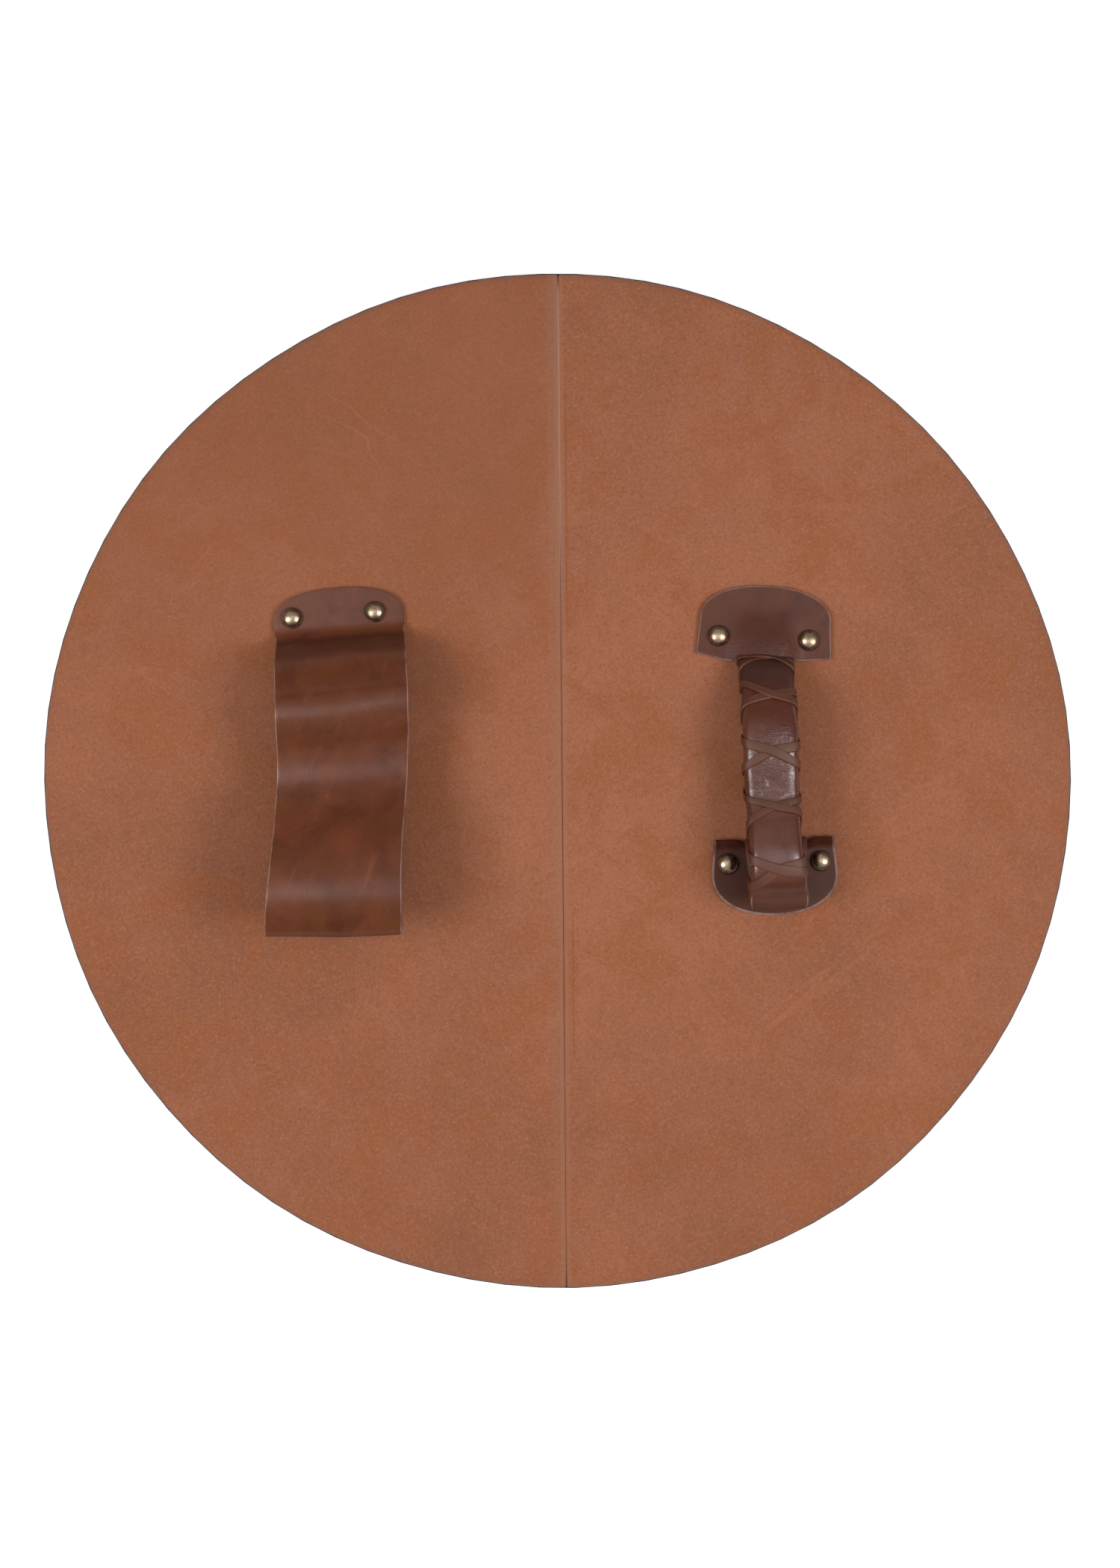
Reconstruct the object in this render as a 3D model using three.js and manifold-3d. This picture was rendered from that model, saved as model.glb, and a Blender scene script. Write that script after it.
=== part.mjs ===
// A wooden round shield lying on its front, with the suede-covered back and its two holds facing up.
// Millimetres, +Z up. The flat wooden front lies in z = 0 and the origin is its centre.
// The top of the shield points along +Y. A bearer's forearm goes through the wide strap on the
// left, and the hand closes on the laced grip on the right.
import * as THREE from 'three';
import { mergeVertices } from 'three/addons/utils/BufferGeometryUtils.js';
import Module from 'manifold-3d';

const wasm = await Module();
wasm.setup();

const { degToRad, mapLinear, clamp } = THREE.MathUtils;

// The board: planks glued edge to edge and sawn round, with a shallow groove along each joint.
const SHIELD_D = 609.6;
const BOARD_T = 10;
const PLANK_W = 87;
const PLANK_JOINTS = 6;
const GROOVE_W = 2.4;
const GROOVE_DEEP = 1.2;
const FRONT_ARRIS = 1;
const RIM_STEPS = 90;

// How far the hand-sawn outline strays from its mean circle: waves round the rim, the swing of
// each, and the bearing of its first crest in degrees from +X.
const STRAYS = [
  { waves: 2, swing: 1.6, crest: 0 },
  { waves: 2, swing: 0.9, crest: 142 },
  { waves: 5, swing: 0.35, crest: 12 },
  { waves: 11, swing: 0.25, crest: 9 },
];

// The back cover: suede over the back and down over its rim, into a rebate in the board's edge,
// so that a thin line of the board shows outside it.
const COVER_T = 2;
const COVER_ROUND = 4;
const REVEAL = 0.8;
const LIP_T = 3.5;
const LIP_ARRIS = 0.5;
const BACK_ARRIS = 2;
const GAP = 0.3;

// The seam between the two suede panels runs nearly upright, a little right of the middle.
const SEAM_X = 2.9;
const SEAM_LEAN = -0.49;

// Heights that follow from the layers.
const COVER_TOP = BOARD_T + GAP + COVER_T;
const LEATHER_BOTTOM = COVER_TOP + GAP;

// The arm strap: one wide strip of thick leather, riveted down by a flat tab at each end.
const STRAP_T = 3.5;
const STRAP_BEVEL = 0.9;
const STRAP_END = 18;
const STRAP_FLAT = LEATHER_BOTTOM + STRAP_T / 2;

// The strap's middle line from the upper tab to the lower one: x, y, z, width, and how far its
// width is turned from +X in degrees. It leaves the board under the upper tab, makes a wave of two
// crests over the arm's room, droops past the lower tab and folds back under to it.
const STRAP_LINE = [
  [-129.9, 114.2, STRAP_FLAT, 76.4, 4.4],
  [-129.5, 97, STRAP_FLAT, 76.4, 4.4],
  [-129, 89.5, STRAP_FLAT + 0.4, 76.4, 4.5],
  [-128.3, 82.5, 19.5, 76.2, 4.7],
  [-126.9, 74.5, 35, 76.2, 5],
  [-125.6, 67, 52, 76.2, 5.5],
  [-124.4, 60, 63.4, 76.2, 5.8],
  [-123.4, 53, 68.4, 76.2, 6],
  [-123, 43, 69.9, 76.2, 6],
  [-123, 31.5, 67.7, 76.2, 5.7],
  [-123.2, 19.7, 63.2, 75.8, 5.3],
  [-123.5, 8, 61.5, 75.4, 4.9],
  [-123.8, -4, 62.1, 75.2, 4.4],
  [-124.2, -13, 65, 75, 3.9],
  [-124.6, -24, 70.4, 74.6, 3.5],
  [-125.1, -36, 77.1, 74.4, 3.2],
  [-125.6, -48, 82.2, 74.8, 2.8],
  [-126, -60, 84.5, 75.6, 2.4],
  [-126.5, -71, 83.4, 76.6, 2],
  [-127, -80.5, 78, 77.4, 1.6],
  [-127.5, -86.6, 67, 77.8, 1.3],
  [-128.3, -82.5, 49, 77.4, 1],
  [-129.3, -67.5, 37.5, 76.8, 0.5],
  [-129.9, -55.2, 28, 76.4, 0],
  [-130, -54.8, 19, 76.4, 0],
  [-130, -60, STRAP_FLAT + 0.5, 76.4, 0],
  [-130, -67, STRAP_FLAT, 76.4, 0],
  [-130, -86, STRAP_FLAT, 76.4, 0],
];

// The hand grip: one piece of leather, flat tabs at its ends and rolled to a thick body between.
const TAB_T = 3;
const ROLL_FLAT = LEATHER_BOTTOM + TAB_T / 2;
const ROLL_SQUARENESS = 4;
const ROLL_SIDES = 12;

// The roll's middle line from inside the upper tab to inside the lower one: x, y, z, width,
// thickness, and how far its width is turned from +X in degrees.
const ROLL_LINE = [
  [122.5, 92, ROLL_FLAT, 36, 2.6, -2.9],
  [122.6, 80, ROLL_FLAT, 36.5, 2.6, -2.9],
  [122.8, 74, ROLL_FLAT + 1.4, 36, 4.4, -2.6],
  [123.1, 66, 21, 32.2, 10, -2],
  [123.1, 55, 31, 30.4, 14, -1.4],
  [123.1, 43, 42.5, 31, 15, -0.8],
  [123.2, 31, 49.5, 31.8, 15, -0.4],
  [123.5, 18, 51.2, 31.6, 15, 0],
  [123.8, 4, 50, 31.8, 15, 0],
  [124.5, -8, 48.8, 31.2, 15, 0.4],
  [125.1, -20, 51, 30.6, 15, 0.8],
  [125.5, -32, 55.2, 30.4, 15, 1.2],
  [126.3, -44, 57.8, 30.6, 14.6, 1.6],
  [127.4, -55, 57.2, 32.4, 13, 1.9],
  [128.2, -64.5, 52.5, 34.6, 9, 1.9],
  [128.9, -71.5, 44.5, 35.8, 5, 1.9],
  [129.1, -72.5, 36.5, 36.2, 3.4, 1.9],
  [129.1, -66, 30.5, 36.4, 3, 1.9],
  [129, -52, 27, 36.4, 3, 1.9],
  [128.9, -40, 25.3, 36.4, 3, 1.9],
  [128.9, -34.3, 20.5, 36.2, 3, 1.9],
  [128.9, -37.5, 15.6, 36.2, 2.8, 1.9],
  [128.9, -44, ROLL_FLAT, 36, 2.6, 1.9],
  [128.8, -56, ROLL_FLAT, 36, 2.6, 1.9],
];

// The grip's tabs: middle of the edge that the roll leaves, which way the rounded end points,
// half-widths at that edge and at the shoulder, length, and the length that its round takes up.
const GRIP_TABS = {
  upper: { x: 122.2, y: 73.7, out: 1, turn: -2.9, root: 39.8, shoulder: 38.6, length: 41.7, round: 20 },
  lower: { x: 128.2, y: -35, out: -1, turn: 1.9, root: 35.6, shoulder: 37.2, length: 44.5, round: 24 },
};
const END_POWER = 2.2;

// The lace: two thongs wound round the roll in opposite directions, crossing on its face at these
// distances along it. They start beside the upper tab, no nearer to it than LACE_TOP.
const LACE_T = 1.3;
const LACE_LIFT = 0.7;
const LACE_ALONG = 5.8;
const LACE_CROSSINGS = [22, 56, 87, 121.5, 156.5];
const LACE_TOP = 21.6;
const LACE_SIDES_BEFORE = 4;
const LACE_SIDES_AFTER = 5;

// How a thong goes round: the share of the way to the next crossing that it has made at each number
// of degrees from the face. It makes most of it across the face and the back, little on the sides.
const LACE_CLIMB = [[0, 0], [60, 0.2], [120, 0.3], [180, 0.5]];

// Rivets: brass domes on shanks through leather, suede and board, peened over in a countersink.
const DOME_D = 12.7;
const DOME_H = 5.4;
const SHANK_D = 4;
const PEEN_D = 5.8;
const PEEN_T = 1.3;
const RIVET_SIDES = 12;
const DOME_RINGS = 4;

const STRAP_RIVETS = {
  arm_strap_rivet_upper_left: [-157.1, 96.4],
  arm_strap_rivet_upper_right: [-108, 100.1],
  arm_strap_rivet_lower_left: [-154.7, -69.6],
  arm_strap_rivet_lower_right: [-105.3, -69.6],
};
const GRIP_RIVETS = {
  grip_rivet_upper_left: [95.5, 85.9],
  grip_rivet_upper_right: [149.1, 83.2],
  grip_rivet_lower_left: [100.9, -49.2],
  grip_rivet_lower_right: [156.2, -47.3],
};

const finishes = {
  darkWood: new THREE.MeshStandardMaterial({ color: 0x3a2a20, roughness: 0.7, metalness: 0 }),
  suede: new THREE.MeshStandardMaterial({ color: 0x9e6548, roughness: 0.95, metalness: 0 }),
  strapLeather: new THREE.MeshStandardMaterial({ color: 0x5a3222, roughness: 0.5, metalness: 0 }),
  thong: new THREE.MeshStandardMaterial({ color: 0x744936, roughness: 0.6, metalness: 0 }),
  brass: new THREE.MeshStandardMaterial({ color: 0x8f7d4c, roughness: 0.3, metalness: 1 }),
};

// Radius of the board's outline at an angle from +X.
function rimRadius(angle) {
  const stray = ({ waves, swing, crest }) => swing * Math.cos(waves * (angle - degToRad(crest)));
  return SHIELD_D / 2 + STRAYS.reduce((sum, one) => sum + stray(one), 0);
}

// A closed skin over rings of points, each ring counterclockwise about the way the rings advance.
function loft(rings) {
  const sides = rings[0].length;
  const points = rings.flat();
  const index = [];
  for (let ring = 0; ring < rings.length - 1; ring += 1) {
    for (let side = 0; side < sides; side += 1) {
      const here = ring * sides + side;
      const next = ring * sides + ((side + 1) % sides);
      index.push(here, next, next + sides, here, next + sides, here + sides);
    }
  }
  const middle = (ring) => ring.reduce((sum, p) => sum.add(p), new THREE.Vector3()).divideScalar(sides);
  const startHub = points.push(middle(rings[0])) - 1;
  const endHub = points.push(middle(rings.at(-1))) - 1;
  const lastRing = (rings.length - 1) * sides;
  for (let side = 0; side < sides; side += 1) {
    const next = (side + 1) % sides;
    index.push(startHub, next, side, endHub, lastRing + side, lastRing + next);
  }
  const geometry = new THREE.BufferGeometry().setFromPoints(points);
  geometry.setIndex(index);
  return geometry;
}

// A three.js geometry as a solid that can be joined and cut.
function solid(geometry) {
  const plain = geometry.clone();
  plain.deleteAttribute('normal');
  plain.deleteAttribute('uv');
  const merged = mergeVertices(plain);
  const corners = merged.index.array;
  const kept = [];
  for (let at = 0; at < corners.length; at += 3) {
    const [a, b, c] = [corners[at], corners[at + 1], corners[at + 2]];
    if (a !== b && b !== c && c !== a) kept.push(a, b, c);
  }
  const vertProperties = new Float32Array(merged.attributes.position.array);
  const triVerts = new Uint32Array(kept);
  return new wasm.Manifold(new wasm.Mesh({ numProp: 3, vertProperties, triVerts }));
}

// A named mesh of a finished solid.
function piece(name, shape, material) {
  const { numProp, vertProperties, triVerts } = shape.getMesh();
  const geometry = new THREE.BufferGeometry();
  const positions = new Float32Array((vertProperties.length / numProp) * 3);
  for (let at = 0; at < positions.length / 3; at += 1) {
    for (let axis = 0; axis < 3; axis += 1) positions[at * 3 + axis] = vertProperties[at * numProp + axis];
  }
  geometry.setAttribute('position', new THREE.BufferAttribute(positions, 3));
  geometry.setIndex(new THREE.BufferAttribute(new Uint32Array(triVerts), 1));
  geometry.computeVertexNormals();
  const mesh = new THREE.Mesh(geometry, material);
  mesh.name = name;
  return mesh;
}

// A disc that follows the shield's outline: each row of its profile is an inset and a height.
function shieldDisc(profile) {
  const rings = profile.map(([inset, z]) => Array.from({ length: RIM_STEPS }, (_, step) => {
    const angle = (2 * Math.PI * step) / RIM_STEPS;
    const radius = rimRadius(angle) - inset;
    return new THREE.Vector3(radius * Math.cos(angle), radius * Math.sin(angle), z);
  }));
  return solid(loft(rings));
}

// Profile rows of a quarter round from a wall at an inset up to a flat top.
function quarterRound(inset, top, radius, steps) {
  return Array.from({ length: steps + 1 }, (_, step) => {
    const angle = (Math.PI / 2) * (step / steps);
    return [inset + radius * (1 - Math.cos(angle)), top - radius * (1 - Math.sin(angle))];
  });
}

// Room for a rivet's shank and peened end, from under the board to above the leather.
function rivetRoom([x, y], top) {
  const wide = PEEN_D / 2 + GAP;
  const slim = SHANK_D / 2 + GAP;
  const profile = [[0, -1], [wide, -1], [wide, GAP], [slim, GAP + PEEN_T], [slim, top], [0, top]];
  return turned(profile, x, y);
}

// A solid of revolution on an upright axis, from rows of radius and height, lowest first.
function turned(profile, x, y) {
  const points = profile.map(([radius, z]) => new THREE.Vector2(radius, z));
  const geometry = new THREE.LatheGeometry(points, RIVET_SIDES);
  geometry.rotateX(Math.PI / 2);
  geometry.translate(x, y, 0);
  return solid(geometry);
}

// The board, rebated round its back edge for the suede and grooved along its front.
function makeBoard(rivetPlaces) {
  const rebate = REVEAL + COVER_T + GAP;
  let board = shieldDisc([
    [FRONT_ARRIS, 0],
    [0, FRONT_ARRIS],
    [0, LIP_T - LIP_ARRIS],
    [LIP_ARRIS, LIP_T],
    [rebate, LIP_T],
    ...quarterRound(rebate, BOARD_T, BACK_ARRIS, 2),
  ]);
  const groove = new THREE.Shape([
    new THREE.Vector2(-GROOVE_W, -GROOVE_DEEP),
    new THREE.Vector2(GROOVE_W, -GROOVE_DEEP),
    new THREE.Vector2(0, GROOVE_DEEP),
  ]);
  for (let joint = 0; joint < PLANK_JOINTS; joint += 1) {
    const cutter = new THREE.ExtrudeGeometry(groove, { depth: SHIELD_D * 1.1, bevelEnabled: false });
    cutter.translate(0, 0, -SHIELD_D * 0.55);
    cutter.rotateX(Math.PI / 2);
    cutter.translate((joint - (PLANK_JOINTS - 1) / 2) * PLANK_W, 0, 0);
    board = board.subtract(solid(cutter));
  }
  for (const place of rivetPlaces) board = board.subtract(rivetRoom(place, BOARD_T + 1));
  return piece('board', board, finishes.darkWood);
}

// The suede as one shell, then parted along the seam into its two panels.
function makeCovers(rivetPlaces) {
  const foot = LIP_T + GAP;
  const outer = shieldDisc([[REVEAL, foot], ...quarterRound(REVEAL, COVER_TOP, COVER_ROUND, 3)]);
  const wall = REVEAL + COVER_T;
  const inside = quarterRound(wall, BOARD_T + GAP, BACK_ARRIS + GAP, 2);
  let cover = outer.subtract(shieldDisc([[wall, 0], ...inside]));
  for (const place of rivetPlaces) cover = cover.subtract(rivetRoom(place, COVER_TOP + 1));
  const halfPlane = (side) => {
    const box = new THREE.BoxGeometry(SHIELD_D, SHIELD_D * 1.2, COVER_TOP * 3);
    box.translate(side * (SHIELD_D / 2 + GAP / 2), 0, 0);
    box.rotateZ(degToRad(-SEAM_LEAN));
    box.translate(SEAM_X, 0, 0);
    return solid(box);
  };
  return [
    piece('back_cover_left', cover.intersect(halfPlane(-1)), finishes.suede),
    piece('back_cover_right', cover.intersect(halfPlane(1)), finishes.suede),
  ];
}

// How much of its full width a rounded leather end has, at a distance from its tip.
function endShare(distance, round) {
  const left = 1 - clamp(distance / round, 0, 1);
  return (1 - left ** END_POWER) ** (1 / END_POWER);
}

// A curve through the first three numbers of each row, and another through the next three.
function lineOf(rows) {
  const route = new THREE.CatmullRomCurve3(rows.map((row) => new THREE.Vector3(...row)), false, 'centripetal');
  const last = rows.length - 1;
  route.arcLengthDivisions = last * 12;
  const valueAt = (t, column) => {
    const at = clamp(t, 0, 1) * last;
    const row = Math.min(Math.floor(at), last - 1);
    return THREE.MathUtils.lerp(rows[row][column], rows[row + 1][column], at - row);
  };
  return { route, valueAt, length: route.getLength() };
}

// Where a strip of leather is at t along its line: its middle, the way it runs, the way its width
// lies and the way its grain side faces.
function frameAt(line, t, turn) {
  const along = line.route.getTangent(t);
  const across = new THREE.Vector3(Math.cos(degToRad(turn)), Math.sin(degToRad(turn)), 0);
  const out = new THREE.Vector3().crossVectors(along, across).normalize();
  return { middle: line.route.getPoint(t), across, out };
}

function makeArmStrap() {
  const line = lineOf(STRAP_LINE);
  const tips = [0.1, 0.8, 2.2, 4.5, 8, 12, STRAP_END];
  const tAt = (distance) => line.route.getUtoTmapping(distance / line.length);
  const spans = STRAP_LINE.length - 1;
  const inner = Array.from({ length: 2 * spans + 1 }, (_, step) => step / (2 * spans));
  const from = tAt(STRAP_END * 1.15);
  const to = tAt(line.length - STRAP_END * 1.15);
  const stations = [
    ...tips.map((distance) => [tAt(distance), endShare(distance, STRAP_END)]),
    ...inner.filter((t) => t > from && t < to).map((t) => [t, 1]),
    ...tips.toReversed().map((distance) => [tAt(line.length - distance), endShare(distance, STRAP_END)]),
  ];
  const rings = stations.map(([t, share]) => {
    const { middle, across, out } = frameAt(line, t, line.valueAt(t, 4));
    const halfWidth = (line.valueAt(t, 3) / 2) * share;
    const halfT = STRAP_T / 2;
    const corners = [
      [halfWidth - STRAP_BEVEL, -halfT],
      [halfWidth, STRAP_BEVEL - halfT],
      [halfWidth, halfT - STRAP_BEVEL],
      [halfWidth - STRAP_BEVEL, halfT],
    ];
    const mirrored = corners.toReversed().map(([side, up]) => [-side, up]);
    return [...corners, ...mirrored].map(([side, up]) => (
      middle.clone().addScaledVector(across, side).addScaledVector(out, up)
    ));
  });
  let strap = solid(loft(rings));
  for (const place of Object.values(STRAP_RIVETS)) strap = strap.subtract(rivetRoom(place, STRAP_FLAT + STRAP_T));
  return piece('arm_strap', strap, finishes.strapLeather);
}

// A point on the grip's roll: at t along it, at an angle from its face, lifted off its surface.
function rollPoint(line, t, angle, lift) {
  const { middle, across, out } = frameAt(line, t, line.valueAt(t, 5));
  const bulge = (value) => Math.sign(value) * Math.abs(value) ** (2 / ROLL_SQUARENESS);
  const side = bulge(Math.sin(angle)) * (line.valueAt(t, 3) / 2 + lift);
  const up = bulge(Math.cos(angle)) * (line.valueAt(t, 4) / 2 + lift);
  return middle.addScaledVector(across, side).addScaledVector(out, up);
}

// Flat tab of the grip, square where the roll leaves it and rounded at its outer end.
function gripTab({ x, y, out, turn, root, shoulder, length, round }) {
  const flank = [0, 0.6, 2, 4.5, 8.5, 14, round].map((distance) => {
    const half = shoulder * endShare(Math.max(distance, 0.1), round);
    return new THREE.Vector2(half, out * (length - distance));
  });
  const right = [new THREE.Vector2(root, 0), ...flank.toReversed()];
  const left = right.map((p) => new THREE.Vector2(-p.x, p.y)).toReversed();
  const geometry = new THREE.ExtrudeGeometry(new THREE.Shape([...right, ...left]), {
    depth: TAB_T,
    bevelEnabled: false,
  });
  geometry.rotateZ(degToRad(turn));
  geometry.translate(x, y, LEATHER_BOTTOM);
  return solid(geometry);
}

function makeGrip(line) {
  const steps = (ROLL_LINE.length - 1) * 2;
  const rings = Array.from({ length: steps + 1 }, (_, step) => (
    Array.from({ length: ROLL_SIDES }, (_side, side) => (
      rollPoint(line, step / steps, -(2 * Math.PI * side) / ROLL_SIDES, 0)
    ))
  ));
  let grip = solid(loft(rings)).add(gripTab(GRIP_TABS.upper)).add(gripTab(GRIP_TABS.lower));
  for (const place of Object.values(GRIP_RIVETS)) grip = grip.subtract(rivetRoom(place, ROLL_FLAT + TAB_T));
  return piece('grip', grip, finishes.strapLeather);
}

// One thong of the lace, wound one way (1) or the other (-1).
function thong(line, way) {
  const last = LACE_CROSSINGS.length - 1;
  const steps = LACE_SIDES_BEFORE + last * ROLL_SIDES + LACE_SIDES_AFTER;
  const rings = Array.from({ length: steps + 1 }, (_, step) => {
    const side = step - LACE_SIDES_BEFORE;
    const crossing = Math.round(side / ROLL_SIDES);
    const past = (side - crossing * ROLL_SIDES) * (360 / ROLL_SIDES);
    const leg = Math.max(LACE_CLIMB.findIndex(([angle]) => angle >= Math.abs(past)), 1);
    const [[fromAngle, fromShare], [toAngle, toShare]] = [LACE_CLIMB[leg - 1], LACE_CLIMB[leg]];
    const share = mapLinear(Math.abs(past), fromAngle, toAngle, fromShare, toShare);
    const gap = past > 0 ? Math.min(crossing, last - 1) : Math.max(crossing - 1, 0);
    const pitch = LACE_CROSSINGS[gap + 1] - LACE_CROSSINGS[gap];
    const along = Math.max(LACE_CROSSINGS[crossing] + Math.sign(past) * share * pitch, LACE_TOP);
    const corner = (edge, lift) => {
      const t = line.route.getUtoTmapping((along + (edge * LACE_ALONG) / 2) / line.length);
      return rollPoint(line, t, way * degToRad(past), lift);
    };
    const top = LACE_LIFT + LACE_T;
    const section = [corner(-1, LACE_LIFT), corner(1, LACE_LIFT), corner(1, top), corner(-1, top)];
    return way > 0 ? section.toReversed() : section;
  });
  return solid(loft(rings));
}

function makeRivet(name, [x, y], leatherT) {
  const seat = LEATHER_BOTTOM + leatherT + GAP;
  const dome = Array.from({ length: DOME_RINGS + 1 }, (_, step) => {
    const angle = (Math.PI / 2) * (step / DOME_RINGS);
    return [(DOME_D / 2) * Math.cos(angle), seat + DOME_H * Math.sin(angle)];
  });
  dome[DOME_RINGS][0] = 0;
  const profile = [
    [0, GAP],
    [PEEN_D / 2, GAP],
    [SHANK_D / 2, GAP + PEEN_T],
    [SHANK_D / 2, seat],
    ...dome,
  ];
  return piece(name, turned(profile, x, y), finishes.brass);
}

const shield = new THREE.Group();
const rivetPlaces = [...Object.values(STRAP_RIVETS), ...Object.values(GRIP_RIVETS)];
const roll = lineOf(ROLL_LINE);
const lace = thong(roll, 1).add(thong(roll, -1));

shield.add(makeBoard(rivetPlaces), ...makeCovers(rivetPlaces));
shield.add(makeArmStrap(), makeGrip(roll), piece('grip_lace', lace, finishes.thong));
for (const [name, place] of Object.entries(STRAP_RIVETS)) shield.add(makeRivet(name, place, STRAP_T));
for (const [name, place] of Object.entries(GRIP_RIVETS)) shield.add(makeRivet(name, place, TAB_T));

export default shield;
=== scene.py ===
import math

import bmesh
import bpy
import numpy as np
from bpy.props import FloatProperty, FloatVectorProperty, IntProperty, PointerProperty
from bpy.types import Operator, Panel, PropertyGroup
from mathutils import Matrix, Vector, noise


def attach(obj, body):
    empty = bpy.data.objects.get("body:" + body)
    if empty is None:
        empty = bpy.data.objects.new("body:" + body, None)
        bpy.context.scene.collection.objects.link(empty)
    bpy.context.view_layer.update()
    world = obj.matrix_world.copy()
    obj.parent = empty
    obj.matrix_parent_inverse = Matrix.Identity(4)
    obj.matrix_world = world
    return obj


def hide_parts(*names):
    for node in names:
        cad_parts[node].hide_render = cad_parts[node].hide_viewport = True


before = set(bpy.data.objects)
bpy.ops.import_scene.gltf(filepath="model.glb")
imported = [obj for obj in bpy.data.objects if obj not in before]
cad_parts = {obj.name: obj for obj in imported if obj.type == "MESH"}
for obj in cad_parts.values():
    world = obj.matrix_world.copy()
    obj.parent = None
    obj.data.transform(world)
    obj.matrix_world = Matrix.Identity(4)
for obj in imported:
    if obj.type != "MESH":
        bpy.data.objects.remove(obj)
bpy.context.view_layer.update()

bl_info = {
    "name": "Wooden round shield",
    "version": (1, 0, 0),
    "blender": (4, 5, 0),
    "location": "View3D > Sidebar > Shield",
    "description": "Dresses the packed round shield: suede back, arm strap, laced grip, rivets and board",
    "category": "Object",
}

MM = 0.001

# The shield's back in millimetres, as the solids have it: up is the suede side, +Y the top.
COVER_TOP = 12.3
COVER_FOOT = 3.8
COVER_REVEAL = 1.8
LEATHER_BOTTOM = 12.6
MEAN_RADIUS = 304.8

# Waves of the hand-sawn outline: how many round the rim, their swing, and a crest's bearing.
OUTLINE_WAVES = [(2, 1.6, 0), (2, 0.9, 142), (5, 0.35, 12), (11, 0.25, 9)]

# The seam between the suede panels: where it crosses the middle, and its lean per unit of height.
SEAM_X = 2.9
SEAM_SLOPE = 0.00855

# Middle lines of the arm strap and of the grip's roll: x, y, z, width, turn, and the roll's thickness.
STRAP_FLAT = 14.35
STRAP_LINE = [
    (-129.9, 114.2, STRAP_FLAT, 76.4, 4.4), (-129.5, 97, STRAP_FLAT, 76.4, 4.4),
    (-129, 89.5, STRAP_FLAT + 0.4, 76.4, 4.5), (-128.3, 84.5, 18.5, 76.2, 4.7), (-127.4, 80.5, 28, 76.2, 4.9),
    (-126.6, 76.5, 39, 76.2, 5.1), (-126, 73.2, 47.6, 76.2, 5.3), (-125.6, 70.4, 52.8, 76.2, 5.5),
    (-125, 66, 56.6, 76.2, 5.7), (-124.4, 60, 60.8, 76.2, 5.8), (-123.7, 54, 65.1, 76.2, 6),
    (-123.3, 50, 68.5, 76.2, 6), (-123, 45, 70, 76.2, 6), (-123, 39.5, 70, 76.2, 5.9),
    (-123, 33, 67.8, 76.2, 5.8), (-123, 27, 64.8, 76.2, 5.6), (-123.2, 19.7, 61, 75.8, 5.3),
    (-123.5, 8, 58.3, 75.4, 4.9), (-123.8, -2, 58.5, 75.2, 4.4), (-124.2, -12, 61.8, 75, 3.9),
    (-124.6, -24, 68.5, 74.6, 3.5), (-125.1, -36, 75.8, 74.4, 3.2), (-125.6, -48, 81.4, 74.8, 2.8),
    (-126, -58, 84.2, 75.6, 2.4), (-126.4, -67, 84.3, 76.6, 2), (-126.9, -76, 81.2, 77.4, 1.7),
    (-127.3, -83, 77, 77.7, 1.5), (-127.5, -86.3, 74.4, 77.8, 1.4), (-127.6, -87, 71.5, 77.8, 1.3),
    (-127.8, -86.4, 64, 77.6, 1.2), (-128.3, -82.5, 49, 77.4, 1), (-129.3, -67.5, 37.5, 76.8, 0.5),
    (-129.9, -55.2, 28, 76.4, 0), (-130, -54.8, 19, 76.4, 0), (-130, -60, STRAP_FLAT + 0.5, 76.4, 0),
    (-130, -67, STRAP_FLAT, 76.4, 0), (-130, -86, STRAP_FLAT, 76.4, 0),
]
# Reach of the strap's rounded ends in metres, and the power of their curve.
STRAP_END = (0.0175, 2.35)
ROLL_FLAT = 14.1
ROLL_SQUARENESS = 4.4
ROLL_LINE = [
    (122.5, 92, ROLL_FLAT, 32, -2.9, 2.6), (122.6, 80, ROLL_FLAT, 32, -2.9, 2.6),
    (122.8, 74, ROLL_FLAT + 1.4, 32, -2.6, 4.4), (123, 69.5, 18.6, 31.8, -2.2, 8),
    (123.1, 65, 24.4, 31, -1.9, 11.5), (123.1, 60, 29.6, 30.6, -1.6, 13.5), (123.1, 53, 34.8, 30.6, -1.2, 14.6),
    (123.1, 43, 42, 31, -0.8, 15), (123.2, 31, 49.3, 31.8, -0.4, 15), (123.5, 18, 51.2, 31.6, 0, 15),
    (123.8, 4, 50, 31.8, 0, 15), (124.5, -8, 48.8, 31.2, 0.4, 15), (125.1, -20, 51, 30.6, 0.8, 15),
    (125.5, -32, 55.2, 30.4, 1.2, 15), (126.3, -44, 57.8, 30.6, 1.6, 14.6), (127.4, -55, 57, 32.4, 1.9, 13),
    (128, -62, 53.2, 34.4, 1.9, 10), (128.6, -69, 48.4, 35.4, 1.9, 7), (128.9, -71.9, 45.2, 33.8, 1.9, 5.4),
    (129.1, -72.7, 39.5, 29, 1.9, 3.6), (129.1, -70.6, 34.5, 27.5, 1.9, 3), (129.1, -66, 30.5, 29, 1.9, 3),
    (129, -52, 27, 34, 1.9, 3), (128.9, -40, 25.3, 36.4, 1.9, 3), (128.9, -34.3, 20.5, 36.2, 1.9, 3),
    (128.9, -37.5, 15.6, 36.2, 1.9, 2.8), (128.9, -44, ROLL_FLAT, 36, 1.9, 2.6),
    (128.8, -56, ROLL_FLAT, 36, 1.9, 2.6),
]

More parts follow.
